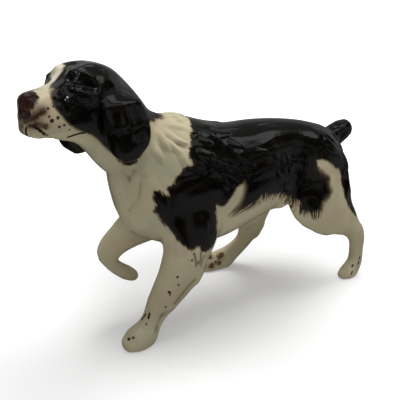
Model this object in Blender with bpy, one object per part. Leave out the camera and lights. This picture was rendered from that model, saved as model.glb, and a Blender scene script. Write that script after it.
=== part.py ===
"""Glazed earthenware gundog figurine, walking, with one foreleg raised.

The figure is put together from nine castings, luted edge to edge with slip before it is
fired: body, head with neck, two ears, tail and four legs. Body and head are hollow, the
rest is solid. The nose points along -X and the dog's left side faces -Y. The sizes are in
millimetres and MM turns them into metres.
"""

import math
from collections import namedtuple

import bmesh
import bpy
import numpy as np
from mathutils import Vector
from mathutils.bvhtree import BVHTree

MM = 0.001

# Casting and assembly
WALL = 3.6                  # slip-cast wall of the body and the head
LUTE_GAP = 0.3              # slip line between two castings
VENT_DIAMETER = 10.5        # air hole drilled through the belly, for the firing
VENT_X = 30.0
NECK_OPENING = 6.0          # how far the hollow runs past the neck joint

# Head
HEAD_TURN = 14.0            # degrees that the head looks to the left
HEAD_PIVOT_X = -42.0
EYE_DIAMETER = 5.2
EYE_BACK = 17.8             # eyes, nose and mouth are measured from the chin: back and up
EYE_RISE = 21.2
EYE_SPREAD = 9.0            # from the middle of the head to the eye
NOSE_WIDTH = 11.6
NOSE_HEIGHT = 8.6
NOSE_LENGTH = 7.0
NOSE_BACK = 1.4
NOSE_RISE = 13.8
NOSTRIL_DIAMETER = 2.4
NOSTRIL_SPREAD = 3.4
MOUTH_LENGTH = 20.4
MOUTH_RISE = 3.0
MOUTH_GROOVE = 1.5          # width of the line between the lips
EAR_THICKNESS = 4.2
RIGHT_EAR_FORWARD = 3.6     # the far ear swings a little forward and hangs lower
RIGHT_EAR_DROP = 2.6

# Feet
PAD_LEVEL = 0.0             # the three standing feet are ground flat here
TOE_GROOVE = 0.75

# Points round a section, and the spacing of the sections along a piece
BODY_POINTS = 32
BODY_STEP = 5.0
HEAD_POINTS = 40
HEAD_STEP = 2.3
EAR_POINTS = 20
LIMB_POINTS = 20
LIMB_STEP = 3.0

# A rib is one section. front and back are the two ends of its longer axis, side is half
# its width across them, full is 2 for an ellipse and more for a squarer section, wide
# moves the widest place towards the front end, and turn swings the rib with the head.
Rib = namedtuple("Rib", "front back side full wide turn", defaults=(2.1, 0.0, 0.0))

# The neck joint, shared by the body and the head: back of the neck, throat
NECK_RIB = Rib((-37.0, 0.0, 125.6), (-58.5, 0.0, 94.5), 15.6, 2.1, -0.04)

# The body from the neck joint to the rump: the back line and the line of the belly
BODY_RIBS = [
    NECK_RIB,
    Rib((-29.5, 0.0, 121.6), (-56.3, 0.0, 81.5), 18.6, 2.1, -0.04),
    Rib((-20.5, 0.0, 120.2), (-52.5, 0.0, 67.5), 20.8, 2.2, 0.0),
    Rib((-9.5, 0.0, 116.6), (-42.0, 0.0, 57.0), 21.7, 2.2, 0.04),
    Rib((2.0, 0.0, 112.6), (-22.0, 0.0, 48.4), 21.4, 2.2, 0.06),
    Rib((14.0, 0.0, 110.4), (0.0, 0.0, 45.6), 21.4, 2.2, 0.06),
    Rib((28.0, 0.0, 110.0), (20.0, 0.0, 49.6), 20.6, 2.15, 0.04),
    Rib((43.0, 0.0, 108.6), (38.0, 0.0, 53.4), 18.6, 2.1, 0.0),
    Rib((58.0, 0.0, 106.0), (54.0, 0.0, 55.0), 17.4, 2.1, -0.04),
    Rib((72.0, 0.0, 102.2), (72.0, 0.0, 56.0), 18.0, 2.1, -0.04),
    Rib((83.0, 0.0, 97.8), (84.5, 0.0, 61.0), 15.8, 2.1, -0.04),
    Rib((89.8, 0.0, 92.0), (92.4, 0.0, 68.0), 11.0, 2.0, 0.0),
]
RUMP_ROUNDING = 3.4

# The head from the neck joint to the lips: the line of the skull and the line of the jaw
HEAD_RIBS = [
    NECK_RIB,
    Rib((-45.5, 0.0, 136.5), (-66.0, 0.0, 102.8), 14.0, 2.1, -0.03, 6.0),
    Rib((-52.5, 0.0, 143.6), (-71.5, 0.0, 109.8), 13.6, 2.1, 0.0, 10.0),
    Rib((-59.5, 0.0, 148.8), (-76.8, 0.0, 115.2), 14.2, 2.15, 0.04, HEAD_TURN),
    Rib((-67.0, 0.0, 152.0), (-81.5, 0.0, 118.4), 14.6, 2.25, 0.08, HEAD_TURN),
    Rib((-75.0, 0.0, 153.4), (-86.0, 0.0, 120.0), 13.8, 2.3, 0.08, HEAD_TURN),
    Rib((-82.0, 0.0, 152.4), (-90.2, 0.0, 121.2), 12.2, 2.3, 0.04, HEAD_TURN),
    Rib((-87.6, 0.0, 147.6), (-93.6, 0.0, 122.4), 10.2, 2.3, -0.04, HEAD_TURN),
    Rib((-92.2, 0.0, 145.6), (-96.8, 0.0, 123.2), 9.4, 2.35, -0.08, HEAD_TURN),
    Rib((-97.2, 0.0, 144.2), (-99.8, 0.0, 124.0), 9.0, 2.4, -0.06, HEAD_TURN),
    Rib((-100.0, 0.0, 142.4), (-101.0, 0.0, 125.6), 8.2, 2.4, -0.04, HEAD_TURN),
]
LIP_ROUNDING = 2.4
CHIN = Vector(HEAD_RIBS[-1].back)

# The left ear in the unturned head, from its root down to its tip: front and rear edge
EAR_RIBS = [
    Rib((-71.4, -10.6, 146.0), (-62.0, -9.6, 146.4), EAR_THICKNESS / 2.2),
    Rib((-74.4, -13.8, 141.6), (-57.8, -12.6, 142.0), EAR_THICKNESS / 2.0),
    Rib((-75.6, -15.8, 135.0), (-54.6, -15.2, 136.4), EAR_THICKNESS / 2.0),
    Rib((-75.6, -16.8, 127.2), (-51.4, -16.8, 129.4), EAR_THICKNESS / 2.0),
    Rib((-74.6, -17.2, 119.4), (-49.6, -17.4, 121.0), EAR_THICKNESS / 2.0),
    Rib((-71.2, -17.0, 112.6), (-51.0, -17.2, 113.4), EAR_THICKNESS / 2.2),
    Rib((-66.2, -16.6, 109.2), (-55.6, -16.8, 109.4), EAR_THICKNESS / 2.8),
]
EAR_TIP_ROUNDING = 1.4

# The docked tail, from inside the rump to its blunt end
TAIL_RIBS = [
    Rib((82.0, 1.0, 95.0), (86.0, 1.0, 79.0), 6.6),
    Rib((90.6, 1.6, 96.6), (95.8, 1.6, 81.2), 6.2),
    Rib((98.0, 2.2, 98.2), (102.0, 2.2, 84.6), 5.8),
    Rib((104.0, 2.8, 98.4), (107.0, 2.8, 87.2), 5.4),
]
TAIL_END_ROUNDING = 4.2

# The limbs run from inside the body to the toes: front and back line of the limb
LEFT_FORE_RIBS = [
    Rib((-42.0, -10.4, 94.0), (-6.0, -10.4, 88.0), 9.6),
    Rib((-42.0, -12.4, 75.0), (-0.6, -12.4, 66.0), 9.8),
    Rib((-36.6, -13.6, 52.0), (-9.6, -13.6, 43.0), 8.6),
    Rib((-39.6, -13.6, 41.0), (-15.6, -13.6, 32.6), 7.4),
    Rib((-43.6, -13.6, 33.0), (-22.0, -13.6, 25.0), 6.4),
    Rib((-47.4, -13.6, 25.4), (-31.0, -13.6, 17.6), 5.5),
    Rib((-49.4, -13.6, 19.4), (-37.0, -13.6, 11.4), 5.0),
    Rib((-51.8, -13.4, 15.2), (-43.0, -13.4, 1.6), 5.5),
    Rib((-55.0, -13.2, 12.8), (-49.2, -13.2, -3.0), 6.5),
    Rib((-58.4, -13.0, 10.6), (-55.2, -13.0, -3.2), 6.6),
    Rib((-60.8, -13.0, 7.6), (-59.6, -13.0, -1.4), 5.2),
]
RIGHT_FORE_RIBS = [
    Rib((-26.0, 10.0, 78.0), (-12.0, 10.0, 54.0), 9.4),
    Rib((-40.0, 12.0, 70.0), (-25.0, 12.0, 48.6), 8.8),
    Rib((-50.6, 12.8, 62.2), (-37.6, 12.8, 46.4), 7.6),
    Rib((-56.2, 13.0, 57.0), (-45.2, 13.0, 45.0), 6.4),
    Rib((-60.6, 13.2, 52.4), (-50.0, 13.2, 42.6), 5.6),
    Rib((-62.8, 13.4, 47.4), (-51.6, 13.4, 40.8), 5.2),
    Rib((-61.8, 13.4, 41.8), (-51.2, 13.4, 39.6), 5.0),
    Rib((-58.4, 13.2, 36.4), (-49.4, 13.2, 37.8), 5.2),
    Rib((-54.4, 13.0, 31.6), (-46.6, 13.0, 35.4), 5.8),
    Rib((-49.8, 12.8, 27.6), (-43.4, 12.8, 33.0), 6.0),
    Rib((-45.6, 12.6, 25.4), (-41.0, 12.6, 30.4), 4.8),
]
LEFT_HIND_RIBS = [
    Rib((52.0, -7.4, 93.0), (87.0, -7.4, 90.0), 8.6),
    Rib((46.6, -10.2, 78.0), (92.6, -10.2, 80.0), 9.8),
    Rib((48.6, -13.2, 60.8), (94.6, -13.2, 66.4), 9.6),
    Rib((57.0, -16.2, 47.0), (95.8, -16.2, 53.4), 8.0),
    Rib((67.6, -18.2, 38.4), (98.4, -18.2, 45.6), 6.2),
    Rib((79.0, -19.8, 34.2), (101.0, -19.8, 38.8), 4.8),
    Rib((89.0, -20.8, 30.8), (104.6, -20.8, 33.0), 4.1),
    Rib((94.2, -21.2, 25.8), (106.0, -21.2, 26.2), 3.8),
    Rib((95.6, -21.4, 20.4), (105.6, -21.4, 19.2), 3.7),
    Rib((95.4, -21.4, 15.6), (105.0, -21.4, 11.4), 3.8),
    Rib((93.6, -21.2, 12.4), (102.4, -21.2, 2.0), 4.3),
    Rib((90.8, -21.0, 10.6), (96.6, -21.0, -2.6), 4.8),
    Rib((88.0, -20.8, 8.6), (90.8, -20.8, -2.8), 4.7),
    Rib((86.2, -20.8, 6.0), (87.0, -20.8, -1.0), 3.7),
]
RIGHT_HIND_RIBS = [
    Rib((52.0, 7.4, 92.0), (87.0, 7.4, 88.0), 8.6),
    Rib((43.0, 10.6, 74.0), (86.0, 10.6, 72.0), 9.8),
    Rib((37.0, 14.8, 55.0), (73.0, 14.8, 56.0), 8.8),
    Rib((35.6, 18.4, 43.6), (61.8, 18.4, 46.6), 7.2),
    Rib((37.4, 21.0, 34.6), (59.6, 21.0, 37.8), 5.9),
    Rib((39.4, 23.2, 27.4), (57.6, 23.2, 31.2), 4.9),
    Rib((38.8, 25.6, 21.8), (54.6, 25.6, 22.6), 4.6),
    Rib((36.4, 28.6, 17.6), (49.8, 28.6, 13.6), 4.6),
    Rib((33.2, 31.6, 14.4), (43.6, 31.6, 5.6), 4.7),
    Rib((29.4, 33.8, 12.4), (37.0, 33.8, -2.0), 5.2),
    Rib((24.8, 35.4, 10.8), (30.0, 35.4, -3.0), 5.6),
    Rib((20.6, 36.2, 8.4), (23.2, 36.2, -3.0), 5.3),
    Rib((18.4, 36.4, 5.8), (19.0, 36.4, -1.2), 4.0),
]
TOE_ROUNDING = 2.6

# Glaze colours
CREAM_GLAZE = (0.72, 0.68, 0.55)
BLACK_GLAZE = (0.012, 0.011, 0.010)


def blend_ribs(ribs, step):
    """Ribs on a smooth curve through the given ones, and where the given ones lie."""
    table = np.array([
        [*r.front, *r.back, r.side, r.full, r.wide, r.turn] for r in ribs
    ])
    middle = (table[:, 0:3] + table[:, 3:6]) / 2.0
    travel = np.linalg.norm(np.diff(middle, axis=0), axis=1)
    edge_travel = np.linalg.norm(np.diff(table[:, 0:3], axis=0), axis=1)
    travel = np.maximum(travel, 0.5 * edge_travel)
    slope = np.diff(table, axis=0) / travel[:, None]
    tangent = np.vstack([slope[:1], slope, slope[-1:]])
    before = np.concatenate([travel[:1], travel, travel[-1:]])
    weight = before[1:] / (before[1:] + before[:-1])
    tangent = tangent[1:] * (1.0 - weight[:, None]) + tangent[:-1] * weight[:, None]
    rows = []
    places = []
    for k, length in enumerate(travel):
        places.append(len(rows))
        parts = max(1, round(length / step))
        for j in range(parts):
            t = j / parts
            h00 = 2 * t ** 3 - 3 * t ** 2 + 1
            h10 = t ** 3 - 2 * t ** 2 + t
            h01 = 3 * t ** 2 - 2 * t ** 3
            h11 = t ** 3 - t ** 2
            row = h00 * table[k] + h01 * table[k + 1]
            row = row + length * (h10 * tangent[k] + h11 * tangent[k + 1])
            rows.append(row)
    places.append(len(rows))
    rows.append(table[-1])
    smooth = [
        Rib(Vector(r[0:3]), Vector(r[3:6]), r[6], r[7], r[8], r[9]) for r in rows
    ]
    return smooth, places


def section_points(rib, count, grow=0.0):
    """The closed outline of one rib, as points in space."""
    front = Vector(rib.front)
    back = Vector(rib.back)
    middle = (front + back) / 2.0
    axis = (front - back) / 2.0
    reach = axis.length + grow
    axis.normalize()
    across = Vector((0.0, 1.0, 0.0))
    across = (across - axis * across.dot(axis)).normalized()
    points = []
    count = int(count)
    for k in range(count):
        angle = 2.0 * math.pi * (k + 0.5) / count
        along = math.copysign(abs(math.cos(angle)) ** (2.0 / rib.full), math.cos(angle))
        aside = math.copysign(abs(math.sin(angle)) ** (2.0 / rib.full), math.sin(angle))
        half = rib.side * (1.0 + rib.wide * along) + grow
        points.append(middle + axis * reach * along + across * half * aside)
    return [swing(p, rib.turn) for p in points]


def swing(point, degrees):
    """Turn a point about the upright axis of the neck."""
    angle = math.radians(degrees)
    x = point.x - HEAD_PIVOT_X
    return Vector((
        HEAD_PIVOT_X + x * math.cos(angle) - point.y * math.sin(angle),
        x * math.sin(angle) + point.y * math.cos(angle),
        point.z,
    ))


def on_head(back, out, up):
    """A place on the turned head, measured from the chin."""
    return swing(CHIN + Vector((back, out, up)), HEAD_TURN)


def ring_middle(ring):
    return sum(ring, Vector((0.0, 0.0, 0.0))) / len(ring)


def ring_normal(ring):
    """Unit normal of a ring of points."""
    middle = ring_middle(ring)
    normal = Vector((0.0, 0.0, 0.0))
    for a, b in zip(ring, ring[1:] + ring[:1]):
        normal += (a - middle).cross(b - middle)
    return normal.normalized()


def rounded_end(ring, outward, bulge, steps=4):
    """Rings that close a loft with a dome, smaller and further out each time."""
    middle = ring_middle(ring)
    rings = []
    for j in range(1, steps):
        angle = math.pi / 2.0 * j / steps
        lift = outward * bulge * math.sin(angle)
        rings.append([middle + (p - middle) * math.cos(angle) + lift for p in ring])
    return rings, middle + outward * bulge


def loft(name, rings, end_point=None, origin=None):
    """A closed mesh object through the rings, with a flat start."""
    origin = origin if origin is not None else ring_middle(rings[0])
    mesh = bpy.data.meshes.new(name)
    bm = bmesh.new()
    rows = [[bm.verts.new((p - origin) * MM) for p in ring] for ring in rings]
    for lower, upper in zip(rows, rows[1:]):
        for k in range(len(lower)):
            j = (k + 1) % len(lower)
            bm.faces.new((lower[k], lower[j], upper[j], upper[k]))
    bm.faces.new(rows[0][::-1])
    if end_point is None:
        bm.faces.new(rows[-1])
    else:
        tip = bm.verts.new((end_point - origin) * MM)
        for k in range(len(rows[-1])):
            bm.faces.new((rows[-1][k], rows[-1][(k + 1) % len(rows[-1])], tip))
    bmesh.ops.recalc_face_normals(bm, faces=bm.faces)
    bm.to_mesh(mesh)
    bm.free()
    item = bpy.data.objects.new(name, mesh)
    item.location = origin * MM
    return item


def swell(item, centre, radius, height):
    """Raise or sink the skin round a place, fading out over the radius."""
    mesh = item.data
    centre = Vector(centre) - item.location / MM
    radius = Vector(radius)
    normals = [v.normal.copy() for v in mesh.vertices]
    for vertex, normal in zip(mesh.vertices, normals):
        offset = vertex.co / MM - centre
        reach = sum((offset[i] / radius[i]) ** 2 for i in range(3))
        if reach < 6.0:
            vertex.co += normal * height * MM * math.exp(-reach)


def ball(name, centre, size, turn, segments=18, rings=10):
    """An ellipsoid as an object, turned about its own upright axis."""
    mesh = bpy.data.meshes.new(name)
    bm = bmesh.new()
    bmesh.ops.create_uvsphere(bm, u_segments=segments, v_segments=rings, radius=0.5)
    for vertex in bm.verts:
        vertex.co = Vector([vertex.co[i] * size[i] * MM for i in range(3)])
    bm.to_mesh(mesh)
    bm.free()
    item = bpy.data.objects.new(name, mesh)
    item.location = Vector(centre) * MM
    item.rotation_euler.z = math.radians(turn)
    return item


def drill(name, centre, diameter, length):
    """A straight upright round cutter."""
    mesh = bpy.data.meshes.new(name)
    bm = bmesh.new()
    bmesh.ops.create_cone(bm, cap_ends=True, segments=24, radius1=diameter * MM / 2.0,
                          radius2=diameter * MM / 2.0, depth=length * MM)
    bm.to_mesh(mesh)
    bm.free()
    item = bpy.data.objects.new(name, mesh)
    item.location = Vector(centre) * MM
    return item


def put_in(collection, item, parent, colour=None, roughness=0.12):
    """Link an object, hang it on the figure's empty and give a piece its glaze."""
    collection.objects.link(item)
    item.parent = parent
    if colour is None:
        item.hide_render = True
        item.display_type = "WIRE"
        return item
    glaze = bpy.data.materials.new(item.name + "_glaze")
    glaze.use_nodes = True
    shader = glaze.node_tree.nodes["Principled BSDF"]
    shader.inputs["Base Color"].default_value = (*colour, 1.0)
    shader.inputs["Roughness"].default_value = roughness
    shader.inputs["Metallic"].default_value = 0.0
    item.data.materials.append(glaze)
    item.data.shade_smooth()
    item.data.set_sharp_from_angle(angle=math.radians(42.0))
    return item


def combine(item, other, operation):
    """Join another solid to a piece, or cut it away."""
    step = item.modifiers.new(operation.title() + "_" + other.name, "BOOLEAN")
    step.operation = operation
    step.solver = "EXACT"
    step.object = other


def grind_flat(item, level):
    """Cut a foot off at a level and close it with one flat pad."""
    bm = bmesh.new()
    bm.from_mesh(item.data)
    height = level * MM - item.location.z
    cut = bmesh.ops.bisect_plane(
        bm, geom=bm.verts[:] + bm.edges[:] + bm.faces[:], dist=1e-7,
        plane_co=(0.0, 0.0, height), plane_no=(0.0, 0.0, -1.0), clear_outer=True)
    rim = [g for g in cut["geom_cut"] if isinstance(g, bmesh.types.BMEdge)]
    bmesh.ops.edgeloop_fill(bm, edges=rim)
    bmesh.ops.recalc_face_normals(bm, faces=bm.faces)
    bm.to_mesh(item.data)
    bm.free()


def toes_on(ring, rib, share):
    """Sink three grooves between four toes into the upper side of a foot's ring."""
    front = Vector(rib.front)
    back = Vector(rib.back)
    middle = (front + back) / 2.0
    axis = (front - back).normalized()
    shaped = []
    for point in ring:
        aside = (point.y - middle.y) / rib.side
        upper = (point - middle).dot(axis) / ((front - back).length / 2.0)
        groove = math.cos(4.0 * math.pi * aside / 2.0) * 0.5 + 0.5
        groove = groove * max(0.0, min(1.0, 0.6 + upper))
        if abs(aside) > 0.82:
            groove = 0.0
        shaped.append(point - (point - middle).normalized() * TOE_GROOVE * share * groove)
    return shaped


def limb(name, ribs, joint, toe_ribs):
    """The stump that stays on the body, and the leg beyond the luting face."""
    smooth, places = blend_ribs(ribs, LIMB_STEP)
    rings = [section_points(rib, LIMB_POINTS) for rib in smooth]
    first_toe = places[len(ribs) - toe_ribs]
    for k in range(first_toe, len(rings)):
        share = min(1.0, 0.4 + 0.3 * (k - first_toe))
        rings[k] = toes_on(rings[k], smooth[k], share)
    cut = places[joint]
    outward = (ring_middle(rings[cut + 1]) - ring_middle(rings[cut])).normalized()
    normal = ring_normal(rings[cut])
    normal = normal if normal.dot(outward) > 0.0 else -normal
    stump = loft(name + "_stump", rings[:cut + 1])
    seat = [p + normal * LUTE_GAP for p in rings[cut]]
    tip_way = (ring_middle(rings[-1]) - ring_middle(rings[-2])).normalized()
    dome, tip = rounded_end(rings[-1], tip_way, TOE_ROUNDING)
    leg = loft(name, [seat] + rings[cut + 1:] + dome, tip)
    return stump, leg


def trunk_rings(grow=0.0):
    """Rings of the body and its closing point, grown evenly where asked."""
    smooth, places = blend_ribs(BODY_RIBS, BODY_STEP)
    rings = [section_points(rib, BODY_POINTS, grow) for rib in smooth]
    way = (ring_middle(rings[-1]) - ring_middle(rings[-2])).normalized()
    dome, tip = rounded_end(rings[-1], way, RUMP_ROUNDING + grow)
    return rings + dome, tip


def skull_rings(grow=0.0):
    """Rings of the head and neck and their closing point at the lips."""
    smooth, places = blend_ribs(HEAD_RIBS, HEAD_STEP)
    rings = [section_points(rib, HEAD_POINTS, grow) for rib in smooth]
    way = (ring_middle(rings[-1]) - ring_middle(rings[-2])).normalized()
    dome, tip = rounded_end(rings[-1], way, LIP_ROUNDING + grow)
    return rings + dome, tip


def hollow(name, ribs, points, step, leave, first_way):
    """The room inside a casting: its ribs less the wall, run out past the neck joint."""
    smooth, places = blend_ribs(ribs, step)
    inner = smooth[:places[len(ribs) - 1 - leave] + 1]
    rings = [section_points(rib, points, -WALL) for rib in inner]
    mouth = [p + first_way * NECK_OPENING for p in rings[0]]
    way = (ring_middle(rings[-1]) - ring_middle(rings[-2])).normalized()
    dome, tip = rounded_end(rings[-1], way, WALL)
    return loft(name, [mouth] + rings + dome, tip)


def shape_muscles(torso):
    """Shoulders, ribs, flanks and thighs on the plain body, so the limbs grow out of it."""
    for side in (-1.0, 1.0):
        spots = [
            ((-28.0, side * 18.0, 84.0), (18.0, 14.0, 18.0), 1.3),
            ((-14.0, side * 18.0, 100.0), (8.0, 12.0, 12.0), 0.9),
            ((-2.0, side * 20.0, 78.0), (6.0, 12.0, 22.0), -0.9),
            ((14.0, side * 20.0, 76.0), (14.0, 12.0, 18.0), 0.8),
            ((74.0, side * 16.0, 84.0), (16.0, 12.0, 14.0), 1.0),
            ((48.0, side * 16.0, 76.0), (7.0, 12.0, 18.0), -0.9),
        ]
        for centre, radius, height in spots:
            swell(torso, centre, radius, height)


def shape_face(head):
    """Brows, cheeks, flews, chin and the furrow of the forehead on the plain head."""
    for side in (-1.0, 1.0):
        spots = [
            ((18.6, side * 7.6, 25.8), (4.4, 3.4, 3.0), 1.3),
            ((24.0, side * 12.6, 12.4), (7.0, 6.0, 7.0), 0.9),
            ((8.0, side * 9.4, 6.0), (7.0, 5.0, 4.4), 0.9),
            ((2.4, side * 7.2, 5.4), (4.0, 4.0, 4.0), 0.5),
            ((12.4, side * 8.4, 18.2), (3.8, 3.6, 3.2), -1.1),
            ((17.4, side * 10.4, 20.8), (3.4, 4.0, 2.8), -0.9),
            ((17.2, side * 10.4, 16.2), (3.6, 4.0, 2.2), 0.5),
            ((6.0, side * 7.4, -0.2), (7.0, 3.6, 2.6), -1.5),
            ((17.0, side * 9.4, -3.0), (6.0, 4.0, 3.4), -1.0),
        ]
        for place, radius, height in spots:
            swell(head, on_head(*place), radius, height)
    swell(head, on_head(0.8, 0.0, -1.0), (3.4, 4.6, 2.4), 0.8)
    swell(head, on_head(13.0, 0.0, 23.8), (3.4, 2.4, 3.0), -0.7)
    swell(head, on_head(29.0, 0.0, 28.0), (11.0, 2.2, 3.0), -0.5)


def mouth_line(name, skin, origin, side):
    """A thin bent rod laid on the skin between the lips, from the front to the corner."""
    centres = []
    for k in range(11):
        t = k / 10.0
        back = MOUTH_LENGTH * t - 0.2
        up = MOUTH_RISE - 5.0 * t + 2.2 * math.sin(math.pi * t)
        outside = on_head(back, side * 30.0, up)
        inside = on_head(back, 0.0, up)
        way = (inside - outside).normalized()
        hit = skin.ray_cast(outside * MM - origin, way)[0]
        centres.append((hit + origin) / MM - way * 0.1)
    rings = []
    for k, centre in enumerate(centres):
        ahead = centres[min(k + 1, len(centres) - 1)] - centres[max(k - 1, 0)]
        ahead.normalize()
        up = Vector((0.0, 0.0, 1.0))
        aside = ahead.cross(up).normalized()
        up = aside.cross(ahead)
        thin = 1.0 - 0.6 * k / len(centres)
        rings.append([
            centre + (up * math.cos(a) + aside * math.sin(a)) * MOUTH_GROOVE / 2.0 * thin
            for a in (2.0 * math.pi * j / 8 for j in range(8))
        ])
    return loft(name, rings)


def build_head(pieces, cutters, figure):
    """Head with neck: hollow, open at the neck joint, with eyes, nose and mouth."""
    rings, tip = skull_rings()
    normal = ring_normal(rings[0])
    ahead = normal if normal.x < 0.0 else -normal
    rings[0] = [p + ahead * LUTE_GAP for p in rings[0]]
    head = loft("head", rings, tip)
    shape_face(head)
    put_in(pieces, head, figure, BLACK_GLAZE)
    for side, word in ((-1.0, "left"), (1.0, "right")):
        eye = ball("eye_" + word, on_head(EYE_BACK, side * EYE_SPREAD, EYE_RISE),
                   (EYE_DIAMETER * 1.15, EYE_DIAMETER * 0.9, EYE_DIAMETER * 0.85),
                   HEAD_TURN, 16, 10)
        combine(head, put_in(cutters, eye, figure), "UNION")
    nose = ball("nose_leather", on_head(NOSE_BACK, 0.0, NOSE_RISE),
                (NOSE_LENGTH, NOSE_WIDTH, NOSE_HEIGHT), HEAD_TURN, 20, 12)
    combine(head, put_in(cutters, nose, figure), "UNION")
    skin = BVHTree.FromObject(head, bpy.context.evaluated_depsgraph_get())
    for side, word in ((-1.0, "left"), (1.0, "right")):
        groove = mouth_line("mouth_" + word, skin, head.location, side)
        combine(head, put_in(cutters, groove, figure), "DIFFERENCE")
        front = NOSE_BACK - NOSE_LENGTH * 0.42
        nostril = ball("nostril_" + word,
                       on_head(front, side * NOSTRIL_SPREAD, NOSE_RISE - 0.6),
                       (3.0, NOSTRIL_DIAMETER, NOSTRIL_DIAMETER * 0.8), HEAD_TURN, 12, 8)
        combine(head, put_in(cutters, nostril, figure), "DIFFERENCE")
    room = hollow("head_room", HEAD_RIBS, 20, 7.0, 3, -ahead)
    combine(head, put_in(cutters, room, figure), "DIFFERENCE")
    return ahead


def build_ears(pieces, cutters, figure, shoulders):
    """Two leaf-shaped ears, cut to lie on the head and the neck."""
    rings, tip = skull_rings(LUTE_GAP)
    bed = loft("ear_bed", rings, tip)
    shape_face(bed)
    put_in(cutters, bed, figure)
    drop_from = EAR_RIBS[0].front[2]
    length = drop_from - EAR_RIBS[-1].front[2]
    for side, word in ((1.0, "left"), (-1.0, "right")):
        ribs = []
        for rib in EAR_RIBS:
            share = (drop_from - rib.front[2]) / length if side < 0.0 else 0.0
            slide = Vector((-RIGHT_EAR_FORWARD, 0.0, -RIGHT_EAR_DROP)) * share
            front = Vector((rib.front[0], rib.front[1] * side, rib.front[2])) + slide
            back = Vector((rib.back[0], rib.back[1] * side, rib.back[2])) + slide
            ribs.append(rib._replace(front=front, back=back, turn=HEAD_TURN))
        smooth, places = blend_ribs(ribs, LIMB_STEP)
        rings = [section_points(rib, EAR_POINTS) for rib in smooth]
        down = (ring_middle(rings[-1]) - ring_middle(rings[-2])).normalized()
        dome, tip = rounded_end(rings[-1], down, EAR_TIP_ROUNDING, 3)
        ear = loft(word + "_ear", rings + dome, tip)
        put_in(pieces, ear, figure, BLACK_GLAZE)
        combine(ear, bed, "DIFFERENCE")
        combine(ear, shoulders, "DIFFERENCE")


def build_figure():
    """All nine castings, hung on one empty that stands the figure on its feet."""
    for item in list(bpy.data.objects):
        bpy.data.objects.remove(item, do_unlink=True)
    scene = bpy.context.scene
    pieces = bpy.data.collections.new("gundog_figurine")
    cutters = bpy.data.collections.new("cutters")
    scene.collection.children.link(pieces)
    scene.collection.children.link(cutters)
    figure = bpy.data.objects.new("figure_base", None)
    pieces.objects.link(figure)

    rings, tip = trunk_rings()
    torso = loft("torso", rings, tip)
    shape_muscles(torso)
    put_in(pieces, torso, figure, BLACK_GLAZE)
    grown_rings, grown_tip = trunk_rings(LUTE_GAP)
    seat = loft("torso_seat", grown_rings, grown_tip)
    shape_muscles(seat)
    put_in(cutters, seat, figure)

    # Each limb is cut from the body at the rib with this number, and has this many toe ribs
    limbs = (
        ("left_foreleg", LEFT_FORE_RIBS, 2, 4, True),
        ("right_foreleg", RIGHT_FORE_RIBS, 2, 4, False),
        ("left_hindleg", LEFT_HIND_RIBS, 3, 4, True),
        ("right_hindleg", RIGHT_HIND_RIBS, 3, 4, True),
    )
    for name, ribs, joint, toe_ribs, stands in limbs:
        stump, leg = limb(name, ribs, joint, toe_ribs)
        combine(torso, put_in(cutters, stump, figure), "UNION")
        if stands:
            grind_flat(leg, PAD_LEVEL)
        put_in(pieces, leg, figure, CREAM_GLAZE)
        combine(leg, seat, "DIFFERENCE")

    ahead = build_head(pieces, cutters, figure)
    build_ears(pieces, cutters, figure, seat)

    room = hollow("body_room", BODY_RIBS, 24, 9.0, 2, ahead)
    combine(torso, put_in(cutters, room, figure), "DIFFERENCE")
    vent = drill("vent_hole", (VENT_X, 0.0, 52.0), VENT_DIAMETER, 20.0)
    combine(torso, put_in(cutters, vent, figure), "DIFFERENCE")

    smooth, places = blend_ribs(TAIL_RIBS, LIMB_STEP)
    rings = [section_points(rib, LIMB_POINTS) for rib in smooth]
    way = (ring_middle(rings[-1]) - ring_middle(rings[-2])).normalized()
    dome, tip = rounded_end(rings[-1], way, TAIL_END_ROUNDING)
    tail = put_in(pieces, loft("tail", rings + dome, tip), figure, BLACK_GLAZE)
    combine(tail, seat, "DIFFERENCE")

    stand_upright(pieces, figure)


def stand_upright(pieces, figure):
    """Put the middle of the figure's footprint box over the origin, feet on the table."""
    bpy.context.view_layer.update()
    graph = bpy.context.evaluated_depsgraph_get()
    low = Vector((1.0, 1.0, 1.0))
    high = -low
    for item in pieces.objects:
        if item.type != "MESH":
            continue
        solid = item.evaluated_get(graph)
        for vertex in solid.data.vertices:
            place = solid.matrix_world @ vertex.co
            low = Vector([min(low[i], place[i]) for i in range(3)])
            high = Vector([max(high[i], place[i]) for i in range(3)])
    middle = (low + high) / 2.0
    figure.location = (-middle.x, -middle.y, -low.z)
    bpy.context.view_layer.update()


build_figure()
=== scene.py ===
"""A glazed earthenware gundog on its walk, one foreleg raised: the fired, painted figure.

Lengths in the sections are millimetres and MM turns them into metres. The nose points along
-X and the dog's left side, which the camera sees, faces -Y.
"""

import math

import bmesh
import bpy
import numpy as np
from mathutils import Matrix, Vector
from mathutils.bvhtree import BVHTree
from mathutils.kdtree import KDTree


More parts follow.
